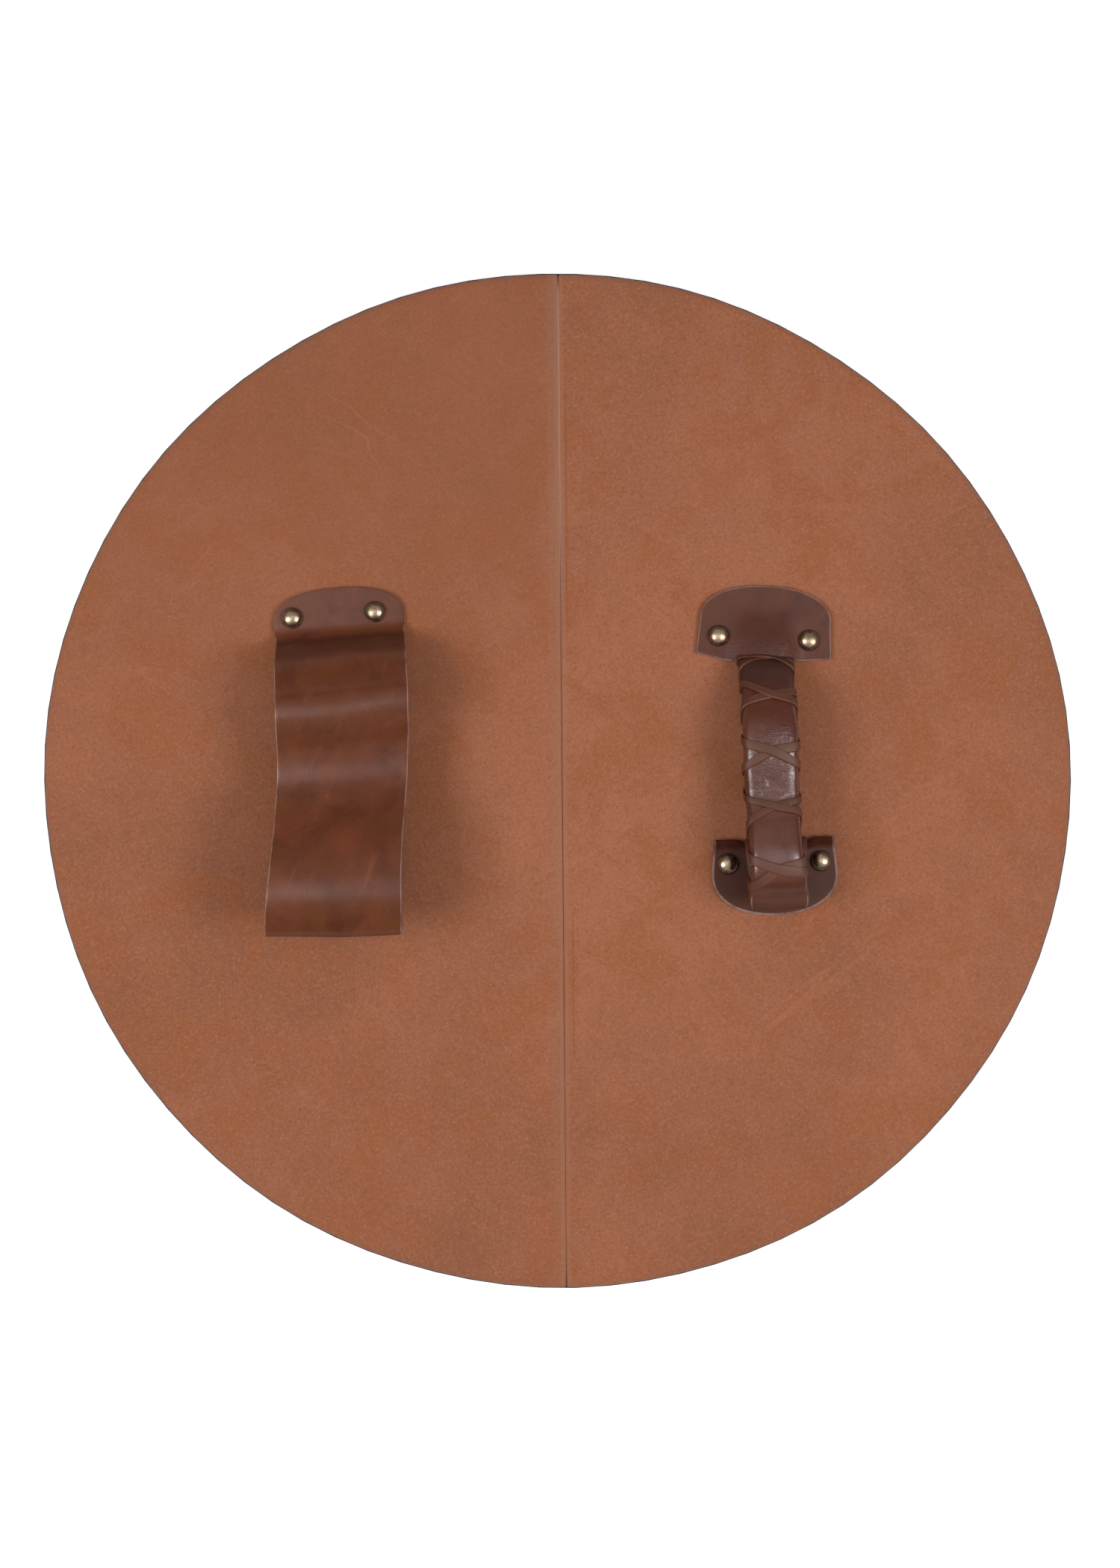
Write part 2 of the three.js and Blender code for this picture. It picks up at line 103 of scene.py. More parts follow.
# The grip's tabs: middle of the edge that the roll leaves, way to the rounded end, turn in degrees,
# half-widths at that edge and at the shoulder, length, and the length that the round takes up.
UPPER_TAB = {
    "x": 122.2, "y": 73.7, "out": 1, "turn": -2.9, "root": 39.8, "shoulder": 38.6, "length": 41.7, "round": 20,
}
LOWER_TAB = {
    "x": 128.2, "y": -35, "out": -1, "turn": 1.9, "root": 35.6, "shoulder": 37.2, "length": 44.5, "round": 24,
}

# The lace crosses itself on the roll's face at these distances. Beside each crossing a thong lies
# this much nearer or further along the roll, before and after it, LACE_SIDE degrees from the face.
LACE_CROSSINGS = (22, 56, 87, 121.5, 156.5)
LACE_SIDE = 72
LACE_OVER = ((-3, 11), (-10, 4.2), (-3.9, 7.8), (-6.1, 3.3), (-5.7, 2.1))
LACE_UNDER = ((1.6, 10.6), (-3.6, 6), (-2.2, 9.5), (-5.2, 9.5), (-3.6, 9.4))
LACE_TOP = 21.6

STRAP_RIVETS = {
    "arm_strap_rivet_upper_left": (-157.1, 96.4), "arm_strap_rivet_upper_right": (-108, 100.1),
    "arm_strap_rivet_lower_left": (-154.7, -69.6), "arm_strap_rivet_lower_right": (-105.3, -69.6),
}
GRIP_RIVETS = {
    "grip_rivet_upper_left": (95.5, 85.9), "grip_rivet_upper_right": (149.1, 83.2),
    "grip_rivet_lower_left": (100.9, -49.2), "grip_rivet_lower_right": (156.2, -47.3),
}
# How much of a rivet's height its shallow crown takes up; the rest is its steep edge.
DOME_CROWN = 0.41

# A sheet's attribute "edge" is 1 at its cut edge and falls to 0 this far inside. Then the girth of
# the roll and the length of a thong's turn, for their patterns, and a plank's width. In metres.
EDGE_REACH = 0.004
ROLL_GIRTH = 0.082
LACE_TURN = 0.085
PLANK = 0.087

# The camera's place, and how high its frame is at FRAME_DISTANCE, in metres. Its sensor is in mm.
CAMERA_PLACE = (0.0016, -0.0018, 1.5123)
SENSOR = 36
FRAME_DISTANCE = 1.5
FRAME_HEIGHT = 0.9307


def length_of(name, default, about):
    settings = {"min": 0, "subtype": "DISTANCE", "unit": "LENGTH", "precision": 4}
    return FloatProperty(name=name, description=about, default=default, **settings)


def colour_of(name, default, about):
    settings = {"min": 0, "max": 1, "size": 3, "subtype": "COLOR"}
    return FloatVectorProperty(name=name, description=about, default=default, **settings)


class ShieldSizes(PropertyGroup):
    """Sizes that a user would change."""
    cover_thickness: length_of("Suede", 0.002, "Thickness of the suede over the back")
    rim_round: length_of("Rim round", 0.004, "Radius of the suede where it turns down over the rim")
    seam_round: length_of("Seam round", 0.0016, "Radius of the suede's edge beside the seam")
    strap_thickness: length_of("Arm strap", 0.0035, "Thickness of the arm strap's leather")
    tab_thickness: length_of("Grip leather", 0.003, "Thickness of the grip's leather")
    lace_width: length_of("Lace width", 0.0052, "Width of a thong of the lace")
    lace_thickness: length_of("Lace thickness", 0.0009, "Thickness of a thong of the lace")
    dome_width: length_of("Rivet width", 0.0127, "Diameter of a rivet's dome")
    dome_height: length_of("Rivet height", 0.0054, "Height of a rivet's dome")
    rim_steps: IntProperty(
        name="Rim steps", description="Sides of the suede's round outline", default=360, min=90, max=720,
    )


class ShieldColours(PropertyGroup):
    """Colours of the finishes."""
    suede: colour_of("Suede", (0.285, 0.107, 0.055), "Suede of the back")
    strap: colour_of("Arm strap", (0.112, 0.0275, 0.0092), "Grain side of the arm strap")
    grip: colour_of("Grip", (0.086, 0.0210, 0.0098), "Grain side of the grip")
    thong: colour_of("Lace", (0.098, 0.032, 0.0175), "Grain side of the lace")
    cut_edge: colour_of("Cut edge", (0.25, 0.145, 0.12), "Cut edges of the strap's and the grip's leather")
    # Partly painted highlight: the lace's cut edges have their own pale tan, painted brighter to stand in for the
    # light they catch.
    thong_edge_and_highlight: colour_of("Lace edge", (0.78, 0.46, 0.31), "Cut edges of the lace")
    brass: colour_of("Brass", (0.46, 0.335, 0.225), "Rivets")
    wood: colour_of("Wood", (0.033, 0.027, 0.026), "Stained wood of the board")
    floor: colour_of("Floor", (0.93, 0.93, 0.93), "Floor under the shield")


# ---------------------------------------------------------------- shader recipes


class Wire:
    """A node socket that is reckoned with like a number."""

    def __init__(self, recipe, socket):
        self.recipe, self.socket = recipe, socket

    def math(self, operation, first, second=None):
        inputs = {0: first} if second is None else {0: first, 1: second}
        return self.recipe.node("ShaderNodeMath", {"operation": operation}, inputs)

    def __add__(self, other):
        return self.math("ADD", self, other)

    def __radd__(self, other):
        return self.math("ADD", other, self)

    def __sub__(self, other):
        return self.math("SUBTRACT", self, other)

    def __rsub__(self, other):
        return self.math("SUBTRACT", other, self)

    def __mul__(self, other):
        return self.math("MULTIPLY", self, other)

    def __rmul__(self, other):
        return self.math("MULTIPLY", other, self)

    def __abs__(self):
        return self.math("ABSOLUTE", self)


class Recipe:
    """A material's node tree while it is put together."""

    def __init__(self, name, **constants):
        self.material = bpy.data.materials.new(name)
        self.material.use_nodes = True
        self.tree = self.material.node_tree
        self.shader = self.tree.nodes["Principled BSDF"]
        for socket, value in constants.items():
            self.shader.inputs[socket.replace("_", " ")].default_value = value

    def node(self, kind, settings=None, inputs=None, output=0):
        made = self.tree.nodes.new(kind)
        for key, value in (settings or {}).items():
            setattr(made, key, value)
        for key, value in (inputs or {}).items():
            if isinstance(value, Wire):
                self.tree.links.new(value.socket, made.inputs[key])
            else:
                made.inputs[key].default_value = value
        return Wire(self, made.outputs[output])

    def place(self, source="Object", scale=(1, 1, 1), turn=(0, 0, 0), shift=(0, 0, 0)):
        """Coordinates of the piece, or of its UV map, shifted, turned in degrees and scaled."""
        spot = self.node("ShaderNodeTexCoord", None, None, source)
        inputs = {"Vector": spot, "Location": shift, "Scale": [1 / s for s in scale]}
        inputs["Rotation"] = [math.radians(a) for a in turn]
        return self.node("ShaderNodeMapping", {"vector_type": "TEXTURE"}, inputs)

    def axes(self, vector):
        return [self.node("ShaderNodeSeparateXYZ", None, {0: vector}, axis) for axis in range(3)]

    def noise(self, vector, scale, detail=2.0, rough=0.5, warp=0.0):
        inputs = {"Vector": vector, "Scale": scale, "Detail": detail, "Roughness": rough, "Distortion": warp}
        return self.node("ShaderNodeTexNoise", {"noise_dimensions": "3D"}, inputs, "Fac")

    def cells(self, vector, scale, loose=1.0):
        """Distance to the nearest of scattered points."""
        inputs = {"Vector": vector, "Scale": scale, "Randomness": loose}
        return self.node("ShaderNodeTexVoronoi", {"feature": "F1"}, inputs, "Distance")

    def rise(self, value, low, high, start=0.0, end=1.0):
        """From start where value is low to end where it is high, smoothly."""
        inputs = {"Value": value, "From Min": low, "From Max": high, "To Min": start, "To Max": end}
        return self.node("ShaderNodeMapRange", {"interpolation_type": "SMOOTHSTEP"}, inputs)

    def between(self, value, low, high, soft):
        """1 where value is from low to high, falling to 0 over soft on either side."""
        return self.rise(value, low - soft, low) * self.rise(value, high, high + soft, 1.0, 0.0)

    def hairs(self, vector, scale, thin, detail=2.0, warp=0.0):
        """Fine lines: 1 where a noise is near its middle."""
        return self.rise(abs(self.noise(vector, scale, detail, 0.5, warp) - 0.5), 0.0, thin, 1.0, 0.0)

    def mix(self, share, first, second):
        """From the first colour to the second as share goes from 0 to 1."""
        as_colour = [c if isinstance(c, Wire) else (*c, 1) for c in (first, second)]
        inputs = {0: share, 6: as_colour[0], 7: as_colour[1]}
        return self.node("ShaderNodeMix", {"data_type": "RGBA", "clamp_factor": True}, inputs, 2)

    def attribute(self, name):
        return self.node("ShaderNodeAttribute", {"attribute_name": name}, None, "Fac")

    def feed(self, **sockets):
        for socket, value in sockets.items():
            self.tree.links.new(value.socket, self.shader.inputs[socket.replace("_", " ")])

    def bump(self, height, depth, strength=1.0):
        """Feeds the shader's normal from a height of 0 to 1 that is depth metres deep."""
        inputs = {"Height": height, "Distance": depth, "Strength": strength}
        self.feed(Normal=self.node("ShaderNodeBump", None, inputs, "Normal"))


def shade(colour, factor):
    return tuple(min(1.0, c * factor) for c in colour)


def tint(colour, *factors):
    """The colour with its red, green and blue each multiplied by a factor of its own."""
    return tuple(c * factor for c, factor in zip(colour, factors))


def suede_finish(colour):
    recipe = Recipe("suede", Roughness=0.95, Specular_IOR_Level=0.12, Sheen_Weight=0.06, Sheen_Roughness=0.6)
    spot = recipe.place()
    x, y, _ = recipe.axes(spot)
    broad = recipe.noise(spot, 7.0, 3.0, 0.55, 0.6)
    middle, corner = (
        recipe.node("ShaderNodeVectorMath", {"operation": "DISTANCE"}, {0: spot, 1: place}, "Value")
        for place in ((0.04, 0.01, 0), (0.14, 0.18, 0))
    )
    lit = recipe.rise(middle, 0.05, 0.16, 1.0, 0.0) + recipe.rise(corner, 0.03, 0.13, 1.0, 0.0)
    patches = recipe.noise(spot, 26.0, 4.0, 0.6, 0.4)
    nap = recipe.noise(spot, 680.0, 4.0, 0.7)
    orange = recipe.noise(recipe.place(shift=(0, 2, 0)), 24.0, 5.0, 0.66, 0.5)
    brushed = recipe.noise(recipe.place(scale=(210, 60, 210), turn=(0, 0, 32)), 1.0, 3.0, 0.6)
    seam = x - SEAM_X * MM + y * SEAM_SLOPE
    upper_left = recipe.rise(seam, -0.02, 0.004, 1.0, 0.0) * recipe.rise(y, -0.02, 0.22)
    tone = broad * 0.5 + patches * 0.32 + nap * 0.12 + brushed * 0.12
    paint = recipe.mix(recipe.rise(tone, 0.36, 0.70), shade(colour, 0.84), shade(colour, 1.09))
    paint = recipe.mix(lit * 0.5, paint, shade(colour, 1.2))
    paint = recipe.mix(recipe.rise(orange, 0.47, 0.62) * 0.7, paint, tint(colour, 0.97, 0.87, 0.68))
    paint = recipe.mix(recipe.rise(nap, 0.5, 0.74) * 0.7, paint, tint(colour, 1.28, 1.5, 1.7))
    paint = recipe.mix(recipe.rise(nap, 0.5, 0.26) * 0.7, paint, tint(colour, 0.68, 0.6, 0.52))
    paint = recipe.mix(upper_left * 0.45, paint, shade(tint(colour, 1, 0.93, 0.86), 0.84))
    scuffs = recipe.hairs(recipe.place(scale=(26, 3.2, 10), turn=(0, 0, -48)), 1.0, 0.006, 2.0, 0.5)
    scuffs = scuffs * recipe.rise(recipe.noise(spot, 9.0, 1.0), 0.52, 0.68)
    scratches = recipe.hairs(recipe.place(scale=(3.0, 24, 10), turn=(0, 0, -24)), 1.0, 0.004, 1.0, 0.3)
    scratches = scratches * recipe.rise(recipe.noise(recipe.place(shift=(3, 1, 0)), 11.0, 1.0), 0.55, 0.7)
    paint = recipe.mix(scuffs * 0.20 + scratches * 0.22, paint, shade(colour, 1.5))
    specks = recipe.rise(recipe.cells(spot, 95.0), 0.03, 0.07, 1.0, 0.0)
    specks = specks * recipe.rise(recipe.noise(spot, 60.0, 1.0), 0.56, 0.62)
    paint = recipe.mix(specks * 0.35, paint, shade(colour, 0.55))
    top = recipe.rise(y, 0.05, 0.16)
    greyed = tint(colour, 0.9, 1.2, 1.5)
    paint = recipe.mix(recipe.between(seam, -0.0062, -0.0012, 0.0018) * (top * 0.12 + 0.2), paint, greyed)
    # Painted highlight: a paler, greyer sheen on the rounded shoulders either side of the seam.
    shoulder_sheen = recipe.between(abs(seam), 0.0, 0.0022, 0.0012)
    paint = recipe.mix(shoulder_sheen * 0.4, paint, tint(colour, 1.08, 1.25, 1.4))
    # Painted light: the seam's groove is lightened in the upper part, so that its shade reads as a faint pale line.
    line = recipe.rise(abs(seam), 0.0002, 0.0007, 1.0, 0.0) * top
    paint = recipe.mix(line * 0.75, paint, (0.36, 0.22, 0.17))
    low = recipe.between(y, -0.15, -0.09, 0.025)
    # Painted shade: darker, redder lines along the folds beside the seam, low down and high up.
    folded = recipe.between(seam, 0.0054, 0.0058, 0.0009) * low
    turned = recipe.between(seam, 0.0034, 0.0040, 0.0009) * recipe.between(y, 0.12, 0.21, 0.05)
    paint = recipe.mix((folded + turned) * 0.35, paint, shade(tint(colour, 1, 0.85, 0.8), 0.7))
    # Painted highlight: a paler, greyer band on the raised ridge right of the seam, low down.
    raised = recipe.between(seam, 0.0098, 0.0125, 0.0014) * low
    paint = recipe.mix(raised * 0.18, paint, tint(colour, 1.15, 1.3, 1.4))
    recipe.feed(Base_Color=paint)
    relief = nap * 0.5 + patches * 0.35 + brushed * 0.25 - scratches * 0.3
    relief = relief + recipe.between(seam, 0.0, 0.0046, 0.0022) * low * 0.3 + raised * 0.15
    recipe.bump(relief, 0.00042, 0.8)
    return recipe.material


def smooth_leather(name, colour, roughness, level, pattern, edge_colour=(1, 1, 1), edge_width=0.0, wax=0.0):
    """Smooth, waxed leather. Its patterns follow the piece's UV map, which is in metres, and its
    attributes say where it is crumpled (its wrinkles darkened with painted shade), polished by hands,
    darkened with painted shade, or near its cut edge."""
    recipe = Recipe(name, Specular_IOR_Level=level, Coat_Roughness=0.24)
    spot = recipe.place("UV")
    tones = recipe.noise(spot, 24.0, 4.0, 0.62, 0.7)
    clouds = recipe.noise(recipe.place("UV", shift=(pattern, 0, 0)), 75.0, 4.0, 0.65, 0.4)
    hue = recipe.noise(recipe.place("UV", shift=(0, pattern, 0)), 40.0, 3.0, 0.6, 0.5)
    pores = recipe.cells(spot, 1500.0, loose=0.9)
    grain = recipe.noise(spot, 900.0, 3.0, 0.6)
    tone = recipe.rise(tones * 0.5 + clouds * 0.3 + grain * 0.2, 0.34, 0.66)
    paint = recipe.mix(tone, shade(colour, 0.70), shade(colour, 1.26))
    amber = tint(colour, 0.95, 1.08, 0.7)
    paint = recipe.mix(recipe.rise(hue, 0.46, 0.64) * 0.7, paint, amber)
    creases = recipe.noise(recipe.place("UV", (150, 34, 1), (0, 0, 17)), 1.0, 3.0, 0.55, 0.3)
    groups = recipe.noise(recipe.place("UV", shift=(0, pattern, 0)), 26.0, 2.0)
    creases = recipe.rise(creases, 0.54, 0.74) * recipe.rise(groups, 0.42, 0.62)
    threads = recipe.hairs(recipe.place("UV", (300, 300, 1)), 1.0, 0.012, 2.0, 0.4)
    threads = threads * recipe.rise(tones, 0.50, 0.66)
    crumple, worn, dark, edge = (recipe.attribute(one) for one in ("crumple", "worn", "dark", "edge"))
    ridged = recipe.noise(recipe.place("UV", (210, 780, 1), (0, 0, 4)), 1.0, 3.0, 0.6, 0.9)
    paint = recipe.mix(creases * 0.27 + threads * 0.12, paint, tint(colour, 1.8, 2.5, 3.2))
    # Painted shade: the valleys of the wrinkles are darkened where the leather is crumpled.
    paint = recipe.mix(recipe.rise(ridged, 0.47, 0.34) * crumple * 0.7, paint, shade(colour, 0.4))
    # Painted shade: where the attribute dark is set, the leather is darkened for the shade that falls there.
    paint = recipe.mix(dark * 0.8, paint, shade(colour, 0.5))
    if edge_width:
        reach = edge_width / EDGE_REACH
        cut = recipe.rise(edge + grain * 0.08 - 0.04, 1 - reach * 1.25, 1 - reach * 0.75)
        ragged = recipe.noise(recipe.place("UV", (55, 55, 1)), 1.0, 4.0, 0.65)
        paint = recipe.mix(cut * recipe.rise(ragged, 0.36, 0.58, 0.3, 1.0), paint, edge_colour)
    gloss = recipe.rise(tones * 0.5 + grain * 0.3 + clouds * 0.2, 0.3, 0.7, roughness - 0.05, roughness + 0.06)
    recipe.feed(Base_Color=paint, Roughness=gloss - worn * 0.10)
    patchy = recipe.rise(recipe.noise(recipe.place("UV", shift=(pattern, pattern, 0)), 110.0, 2.0), 0.34, 0.62)
    if wax:
        waxed = recipe.rise(tones * 0.5 + clouds * 0.5, 0.36, 0.58, 0.4, 1.0)
        recipe.feed(Coat_Weight=recipe.rise(worn, 0.0, 1.0) * waxed * wax)
    relief = grain * 0.22 + pores * 0.12 + clouds * 0.45 - creases * 0.2 + ridged * crumple * patchy * 3.8
    recipe.bump(relief, 0.00035, 0.6)
    return recipe.material


def cut_edge_finish(name, colour):
    recipe = Recipe(name, Roughness=0.75, Specular_IOR_Level=0.3)
    spot = recipe.place()
    fibres = recipe.noise(recipe.place(scale=(1, 1, 2.5)), 900.0, 3.0, 0.7)
    dyed = recipe.noise(spot, 90.0, 3.0, 0.6)
    tone = recipe.rise(fibres * 0.5 + dyed * 0.5, 0.34, 0.66)
    recipe.feed(Base_Color=recipe.mix(tone, shade(colour, 0.66), shade(colour, 1.25)))
    recipe.bump(fibres, 0.0003)
    return recipe.material


def flesh_side_finish(colour):
    recipe = Recipe("flesh_side", Roughness=0.92, Specular_IOR_Level=0.15)
    spot = recipe.place()
    fibres = recipe.noise(spot, 480.0, 4.0, 0.7)
    clouds = recipe.noise(spot, 40.0, 3.0, 0.6)
    tone = recipe.rise(fibres * 0.5 + clouds * 0.5, 0.36, 0.64)
    recipe.feed(Base_Color=recipe.mix(tone, shade(colour, 0.8), shade(colour, 1.3)))
    recipe.bump(fibres, 0.0004)
    return recipe.material


def brass_finish(colour):
    recipe = Recipe("rivet_brass", Metallic=1.0)
    spot = recipe.place()
    tarnish = recipe.noise(spot, 260.0, 4.0, 0.62, 0.5)
    pits = recipe.cells(spot, 1500.0)
    dark = tint(colour, 0.42, 0.40, 0.36)
    recipe.feed(Base_Color=recipe.mix(recipe.rise(tarnish, 0.42, 0.68), colour, dark))
    recipe.feed(Roughness=recipe.rise(tarnish, 0.35, 0.7, 0.20, 0.36))
    recipe.bump(tarnish * 0.6 + recipe.rise(pits, 0.0, 0.3) * 0.4, 0.00008)
    return recipe.material


def wood_finish(colour):
    recipe = Recipe("board_wood", Specular_IOR_Level=0.35)
    spot = recipe.place()
    x, _, _ = recipe.axes(spot)
    plank = recipe.node("ShaderNodeMath", {"operation": "FLOOR"}, {0: (x + PLANK / 2) * (1 / PLANK)})
    own = recipe.node("ShaderNodeTexWhiteNoise", {"noise_dimensions": "1D"}, {"W": plank}, "Value")
    shift = recipe.node("ShaderNodeCombineXYZ", None, {0: own * 3.0, 1: own * 7.0, 2: own * 5.0})
    moved = recipe.node("ShaderNodeVectorMath", {"operation": "ADD"}, {0: spot, 1: shift})
    drawn, fine = (
        recipe.node("ShaderNodeVectorMath", {"operation": "MULTIPLY"}, {0: moved, 1: scale})
        for scale in ((60.0, 3.2, 60.0), (900.0, 28.0, 900.0))
    )
    bands = recipe.noise(drawn, 1.0, 5.0, 0.6, 1.1)
    pores = recipe.noise(fine, 1.0, 2.0, 0.6)
    worn = recipe.noise(spot, 30.0, 4.0, 0.65)
    tone = bands * 0.5 + own * 0.3 + pores * 0.2
    paint = recipe.mix(recipe.rise(tone, 0.25, 0.75), shade(colour, 0.55), shade(colour, 2.1))
    paint = recipe.mix(recipe.rise(worn, 0.58, 0.72) * 0.3, paint, shade(colour, 3.2))
    recipe.feed(Base_Color=paint, Roughness=recipe.rise(bands, 0.3, 0.7, 0.62, 0.82))
    recipe.bump(bands * 0.4 + pores * 0.6, 0.0004)
    return recipe.material


def floor_finish(colour):
    recipe = Recipe("plain_floor", Roughness=0.9, Specular_IOR_Level=0.0, Emission_Strength=0.4)
    for socket in ("Base Color", "Emission Color"):
        recipe.shader.inputs[socket].default_value = (*colour, 1)
    return recipe.material


# ---------------------------------------------------------------- making shapes


class Route:
    """The smooth line through rows of numbers, of which the first three are its place. In metres."""

    def __init__(self, rows, fine=40):
        rows = np.array(rows, float)
        lead, tail = 2 * rows[0] - rows[1], 2 * rows[-1] - rows[-2]
        padded = np.vstack([lead, rows, tail])
        found = []
        for a, b, c, d in zip(padded, padded[1:], padded[2:], padded[3:]):
            da, db, dc = (max(np.linalg.norm((q - p)[:3]) ** 0.5, 1e-4) for p, q in ((a, b), (b, c), (c, d)))
            start = ((b - a) / da - (c - a) / (da + db) + (c - b) / db) * db
            end = ((c - b) / db - (d - b) / (db + dc) + (d - c) / dc) * db
            t = (np.arange(fine) / fine)[:, None]
            square, cube = 3 * (c - b) - 2 * start - end, 2 * (b - c) + start + end
            found.append(b + start * t + square * t ** 2 + cube * t ** 3)
        self.rows = np.vstack(found + [rows[-1:]])
        self.rows[:, :4] *= MM
        if self.rows.shape[1] > 5:
            self.rows[:, 5] *= MM
        steps = np.linalg.norm(np.diff(self.rows[:, :3], axis=0), axis=1)
        self.gone = np.concatenate([[0.0], np.cumsum(steps)])
        self.length = float(self.gone[-1])

    def at(self, distance):
        """The row at a distance along the line, in metres."""
        return np.array([np.interp(distance, self.gone, column) for column in self.rows.T])

    def frame(self, distance):
        """Row, the way the width lies, and the way the grain side faces."""
        step = 0.0004
        here = self.at(distance)
        along = self.at(min(distance + step, self.length))[:3] - self.at(max(distance - step, 0.0))[:3]
        turn = math.radians(here[4])
        across = np.array([math.cos(turn), math.sin(turn), 0.0])
        out = np.cross(along, across)
        return here, across, out / np.linalg.norm(out)


def end_share(distance, reach, power=2.2):
    """How much of its full width a rounded leather end has, at a distance from its tip."""
    left = 1 - min(max(distance / reach, 0.0), 1.0)
    return (1 - left ** power) ** (1 / power)


def inside_edge(side, half, distance, reach, power=2.2):
    """How far inside its cut edge a place on a sheet with a rounded end lies: half is the sheet's
    half-width beyond the round, and distance is measured from the tip."""
    across = min(abs(side) / half, 1.0)
    beyond = max(half * end_share(distance, reach, power) - abs(side), 0.0)
    above = max(distance - reach * (1 - (1 - across ** power) ** (1 / power)), 0.0)
    return beyond * above / max(math.hypot(beyond, above), 1e-9)


def dull_slope(out):
    """Leather that stands steeply is less polished: 0 where it lies flat to -2.4 where it is steep."""
    return -2.4 * (1 - smooth_step(out[2], 0.72, 0.84))


def smooth_step(value, low, high):
    t = min(max((value - low) / (high - low), 0.0), 1.0)
    return t * t * (3 - 2 * t)


def rim_radius(angle):
    strays = (swing * math.cos(waves * (angle - math.radians(crest))) for waves, swing, crest in OUTLINE_WAVES)
    return MEAN_RADIUS + sum(strays)


def start_piece(add, name, **settings):
    """Adds a primitive with nothing else selected, and names it."""
    bpy.ops.object.select_all(action="DESELECT")
    add(**settings)
    made = bpy.context.object
    made.name = made.data.name = name
    return made


def start_grid(name, columns, rows):
    """Adds a flat grid from -1 to 1 each way, whose vertices are then laid in place."""
    add = bpy.ops.mesh.primitive_grid_add
    return start_piece(add, name, x_subdivisions=columns, y_subdivisions=rows, size=2)


def select_only(*objects):
    bpy.ops.object.select_all(action="DESELECT")
    for one in objects:
        one.select_set(True)
    bpy.context.view_layer.objects.active = objects[0]


def edit(piece, pick, kind="FACE"):
    """Enters edit mode with the faces or edges that pick says yes to selected."""
    select_only(piece)
    bpy.ops.object.mode_set(mode="EDIT")
    bpy.ops.mesh.select_mode(type=kind)
    bpy.ops.mesh.select_all(action="DESELECT")
    shape = bmesh.from_edit_mesh(piece.data)
    for part in shape.faces if kind == "FACE" else shape.edges:
        part.select_set(bool(pick(part)))
    bmesh.update_edit_mesh(piece.data)


def leave():
    bpy.ops.object.mode_set(mode="OBJECT")


def close_tube(piece):
    """Joins the long edges of a grid that was laid round into a tube, and caps its two ends."""
    edit(piece, lambda face: True)
    bpy.ops.mesh.remove_doubles(threshold=1e-6)
    leave()
    edit(piece, lambda edge: edge.is_boundary, "EDGE")
    bpy.ops.mesh.edge_face_add()
    bpy.ops.mesh.select_all(action="SELECT")
    bpy.ops.mesh.normals_make_consistent(inside=False)
    leave()


def apply_modifier(piece, kind, **settings):
    select_only(piece)
    modifier = piece.modifiers.new(kind.title(), kind)
    for key, value in settings.items():
        setattr(modifier, key, value)
    bpy.ops.object.modifier_apply(modifier=modifier.name)


def finish_piece(piece, slot, materials, *nodes):
    """Puts the piece's place into its mesh, gives it its finishes and lets it ride on the shield."""
    select_only(piece)
    bpy.ops.object.transform_apply(location=True, rotation=True, scale=True)
    bpy.ops.object.shade_smooth_by_angle(angle=math.radians(38))
    piece.data.materials.clear()
    for material in materials:
        piece.data.materials.append(material)
    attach(piece, "root")
    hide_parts(*nodes)


def bent_sheet(name, columns, distances, place, thickness, bevel):
    """A sheet of leather: a flat grid whose vertices are laid where place(share across, distance) says,
    given its thickness, with flesh side and cut edges as its second and third finish. place also
    tells how far to the side the vertex is, for the pattern, and its four measures: crumpled, worn,
    dark (painted shade), and metres to the cut edge."""
    rows = len(distances) - 1
    sheet = start_grid(name, columns, rows)
    spots, measures = [], []
    for vertex in sheet.data.vertices:
        distance = distances[round((vertex.co.y + 1) / 2 * rows)]
        vertex.co, side, (crumple, worn, dark, inside) = place(vertex.co.x, distance)
        spots.append((side, distance))
        measures.append((crumple, worn, dark, max(1 - inside / EDGE_REACH, 0.0)))
    map_pattern(sheet, spots, measures)
    for _ in range(3):
        sheet.data.materials.append(None)
    walls = {"offset": 0, "use_even_offset": True, "material_offset": 1, "material_offset_rim": 2}
    apply_modifier(sheet, "SOLIDIFY", thickness=thickness, **walls)
    edges = {"segments": 3, "limit_method": "ANGLE", "angle_limit": math.radians(50), "material": 2}
    apply_modifier(sheet, "BEVEL", width=bevel, **edges)
    return sheet


def map_pattern(piece, spots, measures=()):
    """Gives a piece its UV map from a place for each vertex, and its attributes from four measures."""
    corners = piece.data.uv_layers.active.data
    for loop in piece.data.loops:
        corners[loop.index].uv = spots[loop.vertex_index]
    for name, values in zip(("crumple", "worn", "dark", "edge"), zip(*measures)):
        piece.data.attributes.new(name, "FLOAT", "POINT").data.foreach_set("value", values)


def sheet_rows(length, reach, step):
    """Distances along a sheet with a rounded end at either end, closer together near the tips."""
    tips = [0.00008, 0.0003, 0.0007, 0.0013, 0.0021, 0.0032, 0.0046, 0.0063, 0.0083, 0.0106, 0.0131]
    tips = [d for d in tips if d < reach] + [reach]
    count = max(2, round((length - 2 * reach) / step))
    middle = [reach + (length - 2 * reach) * i / count for i in range(1, count)]
    return tips + middle + [length - d for d in reversed(tips)]


def bulge(value):
    """Sine or cosine of an angle, pushed out to a square with rounded corners."""
    return math.copysign(abs(value) ** (2 / ROLL_SQUARENESS), value)


